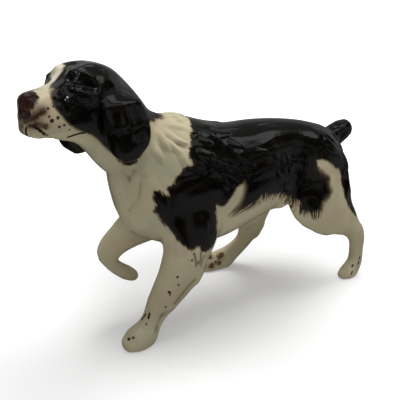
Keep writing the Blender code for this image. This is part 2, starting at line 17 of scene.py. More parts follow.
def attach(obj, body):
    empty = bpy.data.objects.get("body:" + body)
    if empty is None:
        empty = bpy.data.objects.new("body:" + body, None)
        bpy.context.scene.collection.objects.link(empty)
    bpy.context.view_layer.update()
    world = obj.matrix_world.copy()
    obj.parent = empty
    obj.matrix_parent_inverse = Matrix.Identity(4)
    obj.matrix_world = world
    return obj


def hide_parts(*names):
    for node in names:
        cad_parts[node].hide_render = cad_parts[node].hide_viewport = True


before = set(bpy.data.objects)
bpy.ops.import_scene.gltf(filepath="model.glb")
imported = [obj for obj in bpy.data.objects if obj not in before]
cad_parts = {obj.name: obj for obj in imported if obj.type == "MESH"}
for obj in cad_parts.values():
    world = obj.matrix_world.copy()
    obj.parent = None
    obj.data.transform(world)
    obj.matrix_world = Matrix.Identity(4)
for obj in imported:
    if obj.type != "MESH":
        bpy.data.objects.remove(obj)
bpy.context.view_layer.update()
MM = 0.001

# Camera
# It stands in front of the dog's left shoulder, a little above its back, with a lens just
# longer than normal, so that the near foreleg comes forward and the hind legs fall away.
LOOKS_AT = Vector((-3.85, 1.14, 65.0)) * MM
CAMERA_DISTANCE = 340.0 * MM
CAMERA_TURN = math.radians(-33.0)
CAMERA_RISE = math.radians(23.0)
LENS_WIDTH = 36.0
FOCAL_LENGTH = 53.55
SEES_FROM, SEES_TO = 0.01, 20.0
camera_way = Vector((
    math.sin(CAMERA_TURN) * math.cos(CAMERA_RISE),
    -math.cos(CAMERA_TURN) * math.cos(CAMERA_RISE),
    math.sin(CAMERA_RISE),
))


def put(name, data):
    """A new object in the scene."""
    item = bpy.data.objects.new(name, data)
    bpy.context.scene.collection.objects.link(item)
    return item


lens = bpy.data.cameras.new("product_camera")
lens.sensor_width = LENS_WIDTH
lens.lens = FOCAL_LENGTH
lens.clip_start = SEES_FROM
lens.clip_end = SEES_TO
camera = put("product_camera", lens)
camera.location = LOOKS_AT + camera_way * CAMERA_DISTANCE
camera.rotation_euler = (-camera_way).to_track_quat("-Z", "Y").to_euler()
bpy.context.scene.camera = camera
bpy.context.scene.view_settings.view_transform = "Standard"

# Table and light
# A white table in a white tent, under a broad soft box and two small lamps at the upper left.
# Grey papers all round glow with their own light and show in the glaze only, painted reflections
# of an unlit room, darkest on the camera's side, so that the black keeps its depth.
TABLE_SIZE = 9000.0
TABLE_DROP = 0.05           # keeps the table clear of the soles
FLOOR_WHITE = (0.60, 0.60, 0.60, 1.0)
FLOOR_LIFT = 0.26           # what the camera adds to the table under the figure, least there: a painted shadow
NEAR_SHADOW_FADE = (0.04, 0.10, 0.24)      # more of it further out, fading the painted shadow: from and to how many metres out, how much
FAR_SHADOW_FADE = (0.12, 0.34, 0.50)
TENT_FOOT = 0.10
TENT_TOP = 0.40
TENT_LIT = (-0.1, 0.75)     # the ways up between which the tent grows light
TENT_WARM = (-0.1, 0.6)     # and between which it loses the warmth of the table
WARM_WHITE = (1.0, 0.93, 0.80)
PLAIN_WHITE = (1.0, 1.0, 1.0)
PAPER_FACETS = 72
BLOTCHES = (0.47, 0.58)     # where a paper turns from its dark to its light grey

# Stops of the papers: how far out and how high
MIDDLE, FOOT = (2.0, 0.6), (950.0, 5.0)
EAVES, LEAN, RIDGE = (950.0, 620.0), (460.0, 1040.0), (2.0, 1060.0)

# Papers: lower and upper stop, range of ways that they face, and dark, light, blotch scale
PAPERS = (
    ("front_card", FOOT, EAVES, (-1.1, 0.55), (0.0, 0.18, 3.0)),
    ("back_card", FOOT, EAVES, (0.55, 1.1), (0.22, 0.34, 2.3)),
    ("leaning_back", EAVES, LEAN, (0.0, 1.1), (0.12, 0.85, 2.3)),
    ("leaning_front", EAVES, LEAN, (-1.1, 0.0), (0.0, 0.50, 3.0)),
    ("ceiling_card", LEAN, RIDGE, (-1.1, 1.1), (0.06, 0.90, 2.3)),
    ("lying_card", MIDDLE, FOOT, (-1.1, 1.1), (0.0, 0.15, 5.0)),
)

# Lamps: shape, size across and deep in metres, power, place, and whether the glaze shows it
LAMPS = (
    ("soft_box", "RECTANGLE", 0.44, 0.36, 5.6, (0.16, 0.05, 0.91), False),
    ("window_light", "DISK", 0.085, 0.085, 0.42, (-0.41, -0.42, 0.77), True),
    ("small_lamp", "DISK", 0.030, 0.030, 0.10, (-0.22, -0.52, 0.66), True),
)


class Shade:
    """A value in a shader tree: arithmetic on it adds Math nodes, add() any other node."""

    def __init__(self, tree, out=None):
        self.tree = tree
        self.out = out

    def add(self, kind, settings=None, feeds=None, output=0):
        made = self.tree.nodes.new("ShaderNode" + kind)
        for name, value in (settings or {}).items():
            setattr(made, name, value)
        for key, value in (feeds or {}).items():
            if isinstance(value, Shade):
                self.tree.links.new(value.out, made.inputs[key])
            else:
                made.inputs[key].default_value = value
        return Shade(self.tree, made.outputs[output] if len(made.outputs) else None)

    def math(self, operation, first, second=0.0):
        return self.add("Math", {"operation": operation}, {0: first, 1: second})

    def __add__(self, other):
        return self.math("ADD", self, other)

    def __radd__(self, other):
        return self.math("ADD", other, self)

    def __sub__(self, other):
        return self.math("SUBTRACT", self, other)

    def __rsub__(self, other):
        return self.math("SUBTRACT", other, self)

    def __mul__(self, other):
        return self.math("MULTIPLY", self, other)

    def __rmul__(self, other):
        return self.math("MULTIPLY", other, self)

    def most(self, other):
        return self.math("MAXIMUM", self, other)

    def rise(self, low, high, out_low=0.0, out_high=1.0):
        """Smooth step from out_low at low to out_high at high."""
        feeds = {0: self, 1: low, 2: high, 3: out_low, 4: out_high}
        return self.add("MapRange", {"interpolation_type": "SMOOTHSTEP"}, feeds)

    def tint(self, below, above):
        """The colour below where this value is 0, and above where it is 1."""
        below = below if isinstance(below, Shade) else (*below, 1.0)
        above = above if isinstance(above, Shade) else (*above, 1.0)
        return self.add("Mix", {"data_type": "RGBA"}, {0: self, 6: below, 7: above}, 2)


def cleared(owner):
    """The emptied shader tree of a material or world."""
    owner.use_nodes = True
    owner.node_tree.nodes.clear()
    return Shade(owner.node_tree)


def looked_at(tree):
    """1 where a ray looks at the thing, 0 where it only fetches light from it."""
    seen = tree.add("LightPath", output="Is Camera Ray")
    for way in ("Is Glossy Ray", "Is Transmission Ray"):
        seen = seen.most(tree.add("LightPath", output=way))
    return seen


mesh = bpy.data.meshes.new("table_top")
bm = bmesh.new()
bmesh.ops.create_grid(bm, x_segments=1, y_segments=1, size=0.5)
bmesh.ops.scale(bm, vec=(TABLE_SIZE * MM, TABLE_SIZE * MM, 1.0), verts=bm.verts)
bm.to_mesh(mesh)
bm.free()
sheet = put("table_top", mesh)
sheet.location.z = -TABLE_DROP * MM
table_paint = bpy.data.materials.new("white_table")
paint = cleared(table_paint)
matt = paint.add("BsdfDiffuse", None, {0: FLOOR_WHITE})
away = paint.add("VectorMath", {"operation": "LENGTH"},
                 {0: paint.add("TexCoord", output="Object")}, "Value")
# The glow grows away from the figure: the far table stays white, and round the feet it is a
# painted shadow.
start, end, more = NEAR_SHADOW_FADE
lift = away.rise(start, end, FLOOR_LIFT, FLOOR_LIFT + more)
start, end, more = FAR_SHADOW_FADE
lift = lift + away.rise(start, end, 0.0, more)
glow = paint.add("Emission", None, {"Strength": looked_at(paint) * lift})
paint.add("OutputMaterial", None, {0: paint.add("AddShader", None, {0: matt, 1: glow})})
mesh.materials.append(table_paint)

tent = bpy.data.worlds.new("white_tent")
bpy.context.scene.world = tent
cloth = cleared(tent)
way = cloth.add("TexCoord", output="Generated")
up = cloth.add("SeparateXYZ", None, {0: way}, 2)
seen = looked_at(cloth)
strength = up.rise(*TENT_LIT, TENT_FOOT, TENT_TOP) * (1.0 - seen) + seen
hue = seen.tint(up.rise(*TENT_WARM).tint(WARM_WHITE, PLAIN_WHITE), PLAIN_WHITE)
cloth.add("OutputWorld", None, {0: cloth.add("Background", None, {0: hue, 1: strength})})


def room_reflection_card(dark, light, scale):
    """Glowing paper in blotches from one grey to another, a painted reflection of an unlit room
    that only the glaze shows.
    """
    paper = bpy.data.materials.new("room_reflection_card")
    tree = cleared(paper)
    blotch = tree.add("TexNoise", None, {
        "Vector": tree.add("TexCoord", output="Object"), "Scale": scale, "Detail": 2.5,
    })
    even = tree.add("Emission", None, {"Strength": blotch.rise(*BLOTCHES, dark, light)})
    tree.add("OutputMaterial", None, {0: even})
    return paper


behind = -camera_way.xy.normalized()
for name, low, high, (nearest, farthest), greys in PAPERS:
    mesh = bpy.data.meshes.new(name)
    bm = bmesh.new()
    bmesh.ops.create_cone(bm, cap_ends=False, segments=PAPER_FACETS, radius1=low[0] * MM,
                          radius2=high[0] * MM, depth=1.0)
    for vertex in bm.verts:
        vertex.co.z = (low[1] if vertex.co.z < 0.0 else high[1]) * MM
    ways = {f: f.calc_center_median().xy.normalized().dot(behind) for f in bm.faces}
    gap = [f for f, way in ways.items() if not nearest < way <= farthest]
    bmesh.ops.delete(bm, geom=gap, context="FACES")
    bm.to_mesh(mesh)
    bm.free()
    mesh.materials.append(room_reflection_card(*greys))
    item = put(name, mesh)
    item.visible_camera = False
    item.visible_diffuse = False
    item.visible_shadow = False
    item.visible_transmission = False

for name, shape, across, deep, power, spot, shows in LAMPS:
    bulb = bpy.data.lights.new(name, "AREA")
    bulb.shape = shape
    bulb.size = across
    bulb.size_y = deep
    bulb.energy = power
    lamp = put(name, bulb)
    lamp.location = spot
    lamp.rotation_euler = (lamp.location - LOOKS_AT).to_track_quat("Z", "Y").to_euler()
    lamp.visible_glossy = shows

# Clay body
# The slip-cast castings are luted with slip while the clay is leather-hard, the joins are
# sponged smooth and the whole is fired in one piece, so no line shows where they meet.
CAST_PARTS = (
    "torso", "head", "tail",
    "left_foreleg", "right_foreleg", "left_hindleg", "right_hindleg",
)
LUTE = 0.28                 # slip that fills the line between two castings
WELD = 0.002
MIDDLE_Y = -7.86            # the figure's own middle plane
VENT_PLUG = (26.15, MIDDLE_Y, 57.0)     # stops the vent while the skin is worked
PLUG_RADIUS = 7.0
PLUG_HEIGHT = 8.0
CLAY_GRAIN = 0.62           # spacing of the worked clay's mesh
FINE, MIDDLING, BROAD = 20, 44, 90      # passes of easing: feet, neck and head, body
BODY_FROM = (52.0, 64.0)    # heights between which the feet's easing ends
HEAD_TO = (-62.0, -50.0)    # places between which the head's easing ends
FACE_FRONT, FACE_FOOT = -76.0, 112.0    # before and above these the skin is twice as fine
SEAM_PASSES = 4
SPONGE_PASSES = 60
SPONGE_REACH = 8.0          # how far from a join the sponge works


def rows_of(mesh, field="co"):
    """Vertex places in millimetres, or their normals, as rows of numbers."""
    flat = np.empty(len(mesh.vertices) * 3)
    mesh.vertices.foreach_get(field, flat)
    return flat.reshape(-1, 3) / (MM if field == "co" else 1.0)


def set_rows(mesh, rows):
    mesh.vertices.foreach_set("co", (rows * MM).ravel())
    mesh.update()


def pairs_of(mesh):
    """The two vertex numbers of each edge."""
    flat = np.empty(len(mesh.edges) * 2, dtype=np.int32)
    mesh.edges.foreach_get("vertices", flat)
    return flat.reshape(-1, 2)


def eased(rows, pairs, passes, weight):
    """Each row moved by its weight towards the mean of its neighbours, pass after pass."""
    rows = rows.copy()
    size = len(rows)
    beside = np.bincount(pairs.ravel(), minlength=size)
    for _ in range(passes):
        for axis in range(rows.shape[1]):
            column = rows[:, axis]
            total = (np.bincount(pairs[:, 0], column[pairs[:, 1]], size)
                     + np.bincount(pairs[:, 1], column[pairs[:, 0]], size))
            column += (total / beside - column) * weight
    return rows


def calmed(rows, pairs, passes):
    """Rows freed of short facets, with the broad forms given back after the easing."""
    half = np.full(len(rows), 0.5)
    low = eased(rows, pairs, passes, half)
    return low + eased(rows - low, pairs, passes, half)


def smooth_step(value, low, high):
    part = np.clip((value - low) / (high - low), 0.0, 1.0)
    return part * part * (3.0 - 2.0 * part)


def casting(name, grow):
    """A welded copy of a packed casting, grown by a skin of slip."""
    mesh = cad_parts[name].data.copy()
    bm = bmesh.new()
    bm.from_mesh(mesh)
    bmesh.ops.remove_doubles(bm, verts=bm.verts, dist=WELD * MM)
    bm.normal_update()
    for vertex in bm.verts:
        vertex.co += vertex.normal * grow * MM
    bm.to_mesh(mesh)
    bm.free()
    return mesh


def worked(name, mesh, grain):
    """Clay worked into one even skin."""
    item = put(name, mesh)
    step = item.modifiers.new("even_skin", "REMESH")
    step.mode = "VOXEL"
    step.voxel_size = grain * MM
    graph = bpy.context.evaluated_depsgraph_get()
    even = bpy.data.meshes.new_from_object(item.evaluated_get(graph))
    bpy.data.objects.remove(item)
    return even


joined = bpy.data.meshes.new("joined_castings")
bm = bmesh.new()
for name in CAST_PARTS:
    bm.from_mesh(casting(name, LUTE))
plug = bmesh.ops.create_cone(bm, cap_ends=True, segments=24, radius1=PLUG_RADIUS * MM,
                             radius2=PLUG_RADIUS * MM, depth=PLUG_HEIGHT * MM)
bmesh.ops.translate(bm, vec=[v * MM for v in VENT_PLUG], verts=plug["verts"])
bm.to_mesh(joined)
bm.free()
clay = worked("clay", joined, CLAY_GRAIN)

# The rooms inside got a skin too: only the outer one stays, which the lowest point is on
bm = bmesh.new()
bm.from_mesh(clay)
lowest = min(bm.verts, key=lambda v: v.co.z)
skin = {lowest}
waiting = [lowest]
while waiting:
    for edge in waiting.pop().link_edges:
        for vertex in edge.verts:
            if vertex not in skin:
                skin.add(vertex)
                waiting.append(vertex)
bmesh.ops.delete(bm, geom=[v for v in bm.verts if v not in skin], context="VERTS")
bm.to_mesh(clay)
bm.free()
body = rows_of(clay)
pairs = pairs_of(clay)
broad = calmed(body, pairs, BROAD)
middling = calmed(body, pairs, MIDDLING)
fine = calmed(body, pairs, FINE)
above = smooth_step(body[:, 2], *BODY_FROM)
behind_head = smooth_step(body[:, 0], *HEAD_TO)
body = fine + ((middling - fine) + (broad - middling) * behind_head[:, None]) * above[:, None]
set_rows(clay, body)

bm = bmesh.new()
bm.from_mesh(clay)
face_edges = [
    e for e in bm.edges
    if all(v.co.x < FACE_FRONT * MM and v.co.z > FACE_FOOT * MM for v in e.verts)
]
bmesh.ops.subdivide_edges(bm, edges=face_edges, cuts=1, use_grid_fill=True)
bm.to_mesh(clay)
bm.free()

# Each face belongs to the casting under it
points, triangles, owner = [], [], []
for number, name in enumerate(CAST_PARTS):
    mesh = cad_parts[name].data
    mesh.calc_loop_triangles()
    first = len(points)
    points.extend(v.co for v in mesh.vertices)
    triangles.extend([first + i for i in t.vertices] for t in mesh.loop_triangles)
    owner.extend([number] * len(mesh.loop_triangles))
castings = BVHTree.FromPolygons(points, triangles)
part_of_face = np.array([owner[castings.find_nearest(f.center)[2]] for f in clay.polygons])

pairs = pairs_of(clay)
lowest_part = np.full(len(clay.vertices), len(CAST_PARTS))
highest_part = np.full(len(clay.vertices), -1)
corner_vertex = np.empty(len(clay.loops), dtype=np.int32)
clay.loops.foreach_get("vertex_index", corner_vertex)
corners = np.empty(len(clay.polygons), dtype=np.int32)
clay.polygons.foreach_get("loop_total", corners)
part_of_corner = np.repeat(part_of_face, corners)
np.minimum.at(lowest_part, corner_vertex, part_of_corner)
np.maximum.at(highest_part, corner_vertex, part_of_corner)
body = rows_of(clay)
on_seam = np.flatnonzero(lowest_part != highest_part)
seams = KDTree(len(on_seam))
for index in on_seam:
    seams.insert(Vector(body[index]), int(index))
seams.balance()
from_seam = np.array([seams.find(Vector(row))[2] for row in body])
body = eased(body, pairs, SEAM_PASSES, np.full(len(body), 0.5))
body = eased(body, pairs, SPONGE_PASSES, 0.5 * smooth_step(-from_seam, -SPONGE_REACH, 0.0))
set_rows(clay, body)

# Carving
# The model was carved before the moulds were taken: locks of coat on neck, shoulder, flank
# and thigh, the lids and brows, the flews and the toes. The moulds carry it into the clay.
HEAD_PIVOT = (-45.85, MIDDLE_Y)
HEAD_TURN = math.radians(14.0)

# Way of the coat: place along the dog and up, then where the hair points in that plane
COAT_WAYS = np.array([
    (-60, 118, 0.55, -0.85), (-46, 112, 0.45, -0.90), (-38, 95, 0.60, -0.80),
    (-24, 118, 0.85, -0.50), (-22, 96, 0.75, -0.65), (-30, 70, 0.25, -0.95),
    (-52, 84, 0.10, -1.00), (0, 112, 0.90, -0.40), (0, 88, 0.75, -0.65),
    (30, 108, 0.95, -0.25), (34, 82, 0.40, -0.90), (34, 66, 0.15, -0.98),
    (58, 100, 0.85, -0.50), (60, 70, 0.55, -0.83), (84, 98, 0.45, -0.88),
    (90, 76, 0.20, -0.97), (80, 58, 0.40, -0.90), (98, 94, 0.90, 0.45),
])

# Zones of locks: middle, half extents, how many, length, width, height
LOCK_ZONES = (
    ("neck_side", (-34, 0, 106), (16, 40, 19), 40, 14.0, 4.2, 2.30),
    ("shoulder", (-12, 0, 96), (24, 40, 20), 44, 12.0, 3.5, 1.70),
    ("chest", (-50, 0, 84), (14, 40, 26), 14, 24.0, 6.0, 0.80),
    ("upper_arm", (-26, 0, 68), (14, 40, 14), 14, 13.0, 4.0, 0.70),
    ("ribs", (14, 0, 90), (20, 40, 16), 16, 15.0, 4.6, 1.10),
    ("flank", (37, 0, 79), (13, 40, 13), 14, 18.0, 4.0, 1.20),
    ("thigh", (74, 0, 76), (24, 40, 24), 24, 20.0, 5.0, 1.30),
    ("breeching", (90, 0, 62), (14, 40, 16), 16, 13.0, 3.6, 0.70),
    ("tail", (94, -6, 91), (14, 9, 11), 30, 8.0, 2.4, 0.28),
)

# How much the locks differ, as shares of those sizes, and how far one turns aside
LENGTHS, WIDTHS, HEIGHTS = (0.7, 1.25), (0.75, 1.25), (0.6, 1.0)
BENDS = (0.08, 0.26)
TURNS = (-0.22, 0.22)
OUTER_LOSS = 0.6            # height that a lock loses at the edge of its zone
LEAST_LEAN = 0.35           # no lock where the clay faces along the hair
LOCK_SEED = 7
LOCK_BACK = 12.0            # the head's own coat is smooth in front of this
LOCK_FLOOR = 56.0           # and so are the legs below this
COAT_SINK = 0.08            # what the comb takes off between the locks


def head_axes(rows):
    """Forward from the head's pivot, out to the dog's left, and up."""
    along = rows[:, 0] - HEAD_PIVOT[0]
    across = rows[:, 1] - HEAD_PIVOT[1]
    return np.column_stack((
        -along * math.cos(HEAD_TURN) - across * math.sin(HEAD_TURN),
        along * math.sin(HEAD_TURN) - across * math.cos(HEAD_TURN),
        rows[:, 2],
    ))


def from_path(rows, path):
    """Distance from each row to a path of straight pieces, in the path's own number of axes."""
    rows = rows[:, :len(path[0])]
    best = np.full(len(rows), 1e9)
    stops = [np.array(stop, dtype=float) for stop in path]
    for start, end in zip(stops, stops[1:] or stops):
        run = end - start
        part = np.clip((rows - start) @ run / max(run @ run, 1e-9), 0.0, 1.0)
        gap = rows - start - part[:, None] * run
        best = np.minimum(best, np.sqrt((gap * gap).sum(axis=1)))
    return best


def bell(distance, width):
    return np.exp(-(distance / width) ** 2)


def coat_ways(rows):
    """Where the hair points at each row, in the upright plane along the dog."""
    gap = ((rows[:, None, (0, 2)] - COAT_WAYS[None, :, :2]) ** 2).sum(axis=2)
    ways = (1.0 / (gap + 30.0) ** 2) @ COAT_WAYS[:, 2:]
    ways /= np.sqrt((ways * ways).sum(axis=1))[:, None]
    return np.column_stack((ways[:, 0], np.zeros(len(ways)), ways[:, 1]))


def comb_locks(rows, normals, zones, seed):
    """Height of overlapping tapered locks scattered over the zones."""
    rng = np.random.default_rng(seed)
    tree = KDTree(len(rows))
    for index, row in enumerate(rows):
        tree.insert(row, index)
    tree.balance()
    ways = coat_ways(rows)
    height = np.zeros(len(rows))
    for _, middle, extent, count, length, width, lift in zones:
        reach = (((rows - middle) / extent) ** 2).sum(axis=1)
        inside = np.flatnonzero(reach < 1.0)
        for seat in rng.choice(inside, count):
            long = length * rng.uniform(*LENGTHS)
            wide = width * rng.uniform(*WIDTHS)
            bend = rng.uniform(*BENDS) * wide * rng.choice((-1.0, 1.0, 1.0))
            tall = lift * rng.uniform(*HEIGHTS) * (1.0 - OUTER_LOSS * reach[seat])
            normal = Vector(normals[seat])
            ahead = Vector(ways[seat])
            ahead = ahead - normal * ahead.dot(normal)
            if ahead.length < LEAST_LEAN:
                continue
            ahead.normalize()
            turned = rng.uniform(*TURNS)
            aside = normal.cross(ahead)
            ahead, aside = (ahead * math.cos(turned) + aside * math.sin(turned),
                            aside * math.cos(turned) - ahead * math.sin(turned))
            found = tree.find_range(rows[seat], long * 0.6)
            index = np.array([hit[1] for hit in found])
            gap = rows[index] - rows[seat]
            along = gap @ np.array(ahead) / (long * 0.5)
            across = gap @ np.array(aside) + bend * np.sin(along * 2.6)
            facing = normals[index] @ np.array(normal)
            half = wide * 0.5 * np.clip(1.0 - np.clip(along, 0.0, 1.0) ** 2, 0.05, 1.0)
            round_top = 1.0 - (across / half) ** 2
            ends = np.clip((1.0 - along ** 2), 0.0, 1.0) * (0.65 + 0.35 * along)
            lock = tall * np.clip(round_top, 0.0, 1.0) * ends * np.clip(facing, 0.0, 1.0)
            height[index] = np.maximum(height[index], lock)
    return height


normals = rows_of(clay, "normal")
trunk = [CAST_PARTS.index(name) for name in ("torso", "head", "tail")]
combed = np.isin(lowest_part, trunk) | (body[:, 2] > LOCK_FLOOR)
combed &= head_axes(body)[:, 0] < LOCK_BACK
coat = np.flatnonzero(combed)
locks = np.zeros(len(body))
locks[coat] = comb_locks(body[coat], normals[coat], LOCK_ZONES, LOCK_SEED)
locks = eased(locks[:, None], pairs, 1, np.full(len(body), 0.6))[:, 0]
set_rows(clay, body + normals * (locks - COAT_SINK)[:, None])


def head_sides(rows):
    """Head axes of the rows, and the same with the two sides laid over each other."""
    one = head_axes(rows)
    both = one.copy()
    both[:, 1] = np.abs(both[:, 1])
    return one, both


def raised(rows, where, forms):
    """Rows moved out of the clay by a row of (path, width, how far)."""
    push = np.zeros(len(rows))
    for path, width, stand in forms:
        push += stand * bell(from_path(where, path), width)
    on_head = smooth_step(head_axes(rows)[:, 0], *FACE_FROM) * (rows[:, 2] > HEAD_FOOT)
    return rows + normals * (push * on_head)[:, None]


def mirrored(path):
    return [(forward, -out, up) for forward, out, up in path]


# Broad forms of the face, in head axes: path, width, and how far the clay stands out there
FACE_FROM = (10.0, 16.0)    # how far forward the face begins
HEAD_FOOT = 100.0
FACE_FORMS = (
    ([(49.5, 0.0, 147.0), (44.0, 0.0, 151.0), (36.0, 0.0, 153.0)], 5.2, -2.1),  # furrow
    ([(43.5, 6.0, 150.6), (38.0, 9.0, 151.6)], 3.6, -0.9),  # over the eye
    ([(39.5, 14.5, 136.0), (36.5, 14.6, 131.0), (33.5, 13.5, 127.0)], 3.0, 0.4),  # cheek
    ([(60.2, 2.5, 139.8), (59.3, 5.6, 139.6)], 3.4, 1.2),  # nostril wing
    ([(60.3, 0.0, 127.8), (60.0, 3.6, 127.8)], 3.0, 1.8),  # front of the lip
    ([(57.0, 0.0, 122.5), (51.0, 0.0, 122.0)], 4.0, -0.8),  # under the jaw
    ([(57.0, 8.4, 131.6), (51.5, 9.6, 129.0)], 3.2, 0.45),  # flew
    ([(58.5, 0.0, 144.0), (61.8, 0.0, 141.5)], 2.2, 0.3),  # top of the nose
)
EYE = (40.9, 10.8, 146.9)   # in head axes, as on the dog's left
EYE_ROOM = 4.2
EYE_PASSES = 60

body = rows_of(clay)
normals = rows_of(clay, "normal")
face, side = head_sides(body)
body = raised(body, side, FACE_FORMS)
set_rows(clay, body)
face, side = head_sides(body)
body = eased(body, pairs, EYE_PASSES, 0.5 * bell(from_path(side, [EYE]), EYE_ROOM))
set_rows(clay, body)
normals = rows_of(clay, "normal")
face, side = head_sides(body)


def seated(path):
    """The stops of a path set down on the face."""
    return [tuple(face[from_path(face, [stop]).argmin()]) for stop in path]


# Small forms of the eye, and then the cuts of mouth and nose
FAR_EYE_SHARE = 0.4         # the far eye, against the cheek, is only pressed in
hollow = [(42.8, 6.6, 147.7), (41.9, 8.9, 147.1), (39.9, 11.3, 146.0), (37.3, 12.8, 144.7),
          (35.2, 13.5, 143.8)]
eyeball = [(41.9, 9.2, 147.0), (40.2, 11.1, 146.3)]
lower_lid = [(43.6, 9.6, 144.6), (42.2, 12.0, 143.3), (40.4, 13.2, 142.5)]
under_lid = [(41.4, 13.0, 140.4), (38.8, 14.2, 139.5)]
brow = [(41.6, 5.4, 150.9), (39.8, 7.6, 151.3), (37.4, 9.9, 150.4), (34.8, 11.7, 148.4)]
EYE_FORMS = (
    (hollow, 1.9, -1.75), (eyeball, 1.35, 0.95),
    (lower_lid, 1.0, 0.60), (under_lid, 1.7, -0.50), (brow, 1.8, 0.80),
)
flew = [(60.4, 2.6, 130.4), (60.3, 5.2, 130.9), (59.6, 7.5, 129.9), (57.8, 7.2, 128.2),
        (54.2, 4.9, 125.3)]
split = [(60.4, 2.6, 130.4), (60.2, 1.5, 129.7), (60.5, 1.4, 127.9), (59.2, 0.8, 125.0)]
lip_corner = [(45.1, 6.3, 123.1), (42.6, 7.4, 124.0), (40.6, 8.6, 124.4), (38.9, 9.5, 124.3)]
nostril = [(60.6, 3.9, 139.6), (59.8, 5.1, 138.6)]

# Creases: path, width and depth of the cut, and reach of the dark line painted in it
CREASES = [(seated(path), width, depth, reach) for path, width, depth, reach in (
    (flew, 0.75, -0.70, 0.92), (mirrored(flew[2:]), 0.75, -0.70, 0.92),
    (split, 0.65, -0.55, 0.82),
    (lip_corner, 0.7, -0.40, 0.88), (mirrored(lip_corner), 0.7, -0.40, 0.88),
    (nostril, 0.95, -0.60, 0.76), (mirrored(nostril), 0.95, -0.60, 0.76),
)]
near_eye = [(seated(path), width, stand) for path, width, stand in EYE_FORMS]
far_eye = [(seated(mirrored(path)), width, stand * FAR_EYE_SHARE)
           for path, width, stand in EYE_FORMS]
body = raised(body, face, near_eye + far_eye + [crease[:3] for crease in CREASES])

# Paws: middle of the pad and which way the toes point
PAWS = (
    ((-57.4, -21.0, 4.5), (-0.94, -0.34)),
    ((90.8, -29.2, 4.5), (-0.97, -0.22)),
    ((23.9, 27.5, 4.5), (-1.0, 0.0)),
)
PAW_REACH = (14.0, 9.0, 16.0)       # half length, half width and height of a paw
TOES_FROM = (0.0, 4.0)
TOE_HEIGHTS = ((0.4, 3.6), (7.0, 10.0))     # where a groove begins and where it ends
TOE_GROOVES = (-3.3, 0.0, 3.1)
TOE_SPREAD = 0.03
GROOVE_WIDTH, GROOVE_DEPTH = 0.8, 0.42
for middle, toes in PAWS:
    gap = body - middle
    height = body[:, 2]
    ahead = gap[:, 0] * toes[0] + gap[:, 1] * toes[1]
    aside = gap[:, 1] * toes[0] - gap[:, 0] * toes[1]
    paw = (np.abs(ahead) < PAW_REACH[0]) & (np.abs(aside) < PAW_REACH[1])
    paw &= height < PAW_REACH[2]
    (sole, sole_end), (knuckle, knuckle_end) = TOE_HEIGHTS
    front = smooth_step(ahead, *TOES_FROM) * smooth_step(-height, -knuckle_end, -knuckle)
    front *= smooth_step(height, sole, sole_end)
    groove = np.zeros(len(body))
    for place in TOE_GROOVES:
        fan = place * (1.0 + TOE_SPREAD * ahead)
        groove = np.maximum(groove, bell(aside - fan, GROOVE_WIDTH))
    body -= normals * (GROOVE_DEPTH * groove * front * paw)[:, None]

# Small forms of the limbs: path, width, and how far the clay stands out there. First come
# the hollows and swellings of the legs, then the fringe at the elbow and the chest's folds.
LIMB_FORMS = (
    ([(-44.0, -26.0, 14.5), (-46.0, -26.0, 8.0)], 4.6, -3.0),
    ([(-22.0, -26.5, 37.0), (-22.5, -25.5, 31.0)], 3.5, 1.3),
    ([(50.0, 12.0, 31.0), (48.0, 13.0, 24.5)], 3.6, 1.9),
    ([(42.0, -17.0, 57.5), (48.0, -21.5, 54.0), (52.0, -22.5, 49.0), (57.0, -25.0, 43.7)],
     4.0, 1.7),
    ([(50.0, -22.5, 48.5), (53.5, -24.5, 45.0)], 3.6, 0.8),
    ([(62.5, -27.4, 39.0), (69.0, -28.3, 36.4)], 4.2, 1.4),
    ([(-29.8, -30.0, 51.0), (-27.8, -29.9, 44.0)], 0.9, 1.0),
    ([(-27.4, -30.1, 50.5), (-25.8, -29.7, 43.5)], 0.7, -0.5),
    ([(-25.4, -30.1, 51.0), (-24.0, -29.6, 41.5)], 0.9, 1.0),
    ([(-23.6, -29.9, 50.5), (-23.0, -29.2, 42.0)], 0.7, -0.5),
    ([(-21.6, -29.5, 50.0), (-21.8, -28.9, 40.0)], 0.9, 1.0),
    ([(-18.8, -28.4, 50.5), (-20.2, -28.0, 41.5)], 1.0, 0.8),
    ([(-56.6, -22.2, 99.6), (-58.4, -20.3, 95.4), (-57.8, -20.0, 88.0)], 2.4, -0.7),
    ([(-60.1, -18.8, 98.3), (-58.4, -20.3, 95.4)], 2.0, -0.4),
    ([(-53.0, -24.9, 97.7), (-55.1, -23.1, 86.7), (-57.7, -17.0, 77.9)], 2.4, -0.8),
    ([(-50.5, -25.0, 94.0), (-52.0, -24.5, 87.0), (-53.5, -21.0, 79.0)], 2.6, 0.7),
)
for path, width, stand in LIMB_FORMS:
    body += normals * (stand * bell(from_path(body, path), width))[:, None]

# The near hind paw is drawn back and its toes out
PAW_BACK, TOES_BACK, TOES_OUT = 1.2, 2.4, 0.9
hind_paw = smooth_step(-body[:, 2], -19.0, -7.0) * (body[:, 0] > 70.0)
toe_end = smooth_step(-body[:, 0], -98.0, -85.0)
body[:, 0] += (PAW_BACK + TOES_BACK * toe_end) * hind_paw
body[:, 1] -= TOES_OUT * toe_end * hind_paw

# The sponge takes off nearly what the slip added, less of it on the locks
SPONGED, LOCK_SPARED, SPARED_FROM = 0.16, 0.11, 0.1
SOLE = 0.02
body -= normals * (SPONGED - LOCK_SPARED * smooth_step(locks, 0.0, SPARED_FROM))[:, None]
body[:, 2] = np.maximum(body[:, 2], SOLE)
set_rows(clay, body)

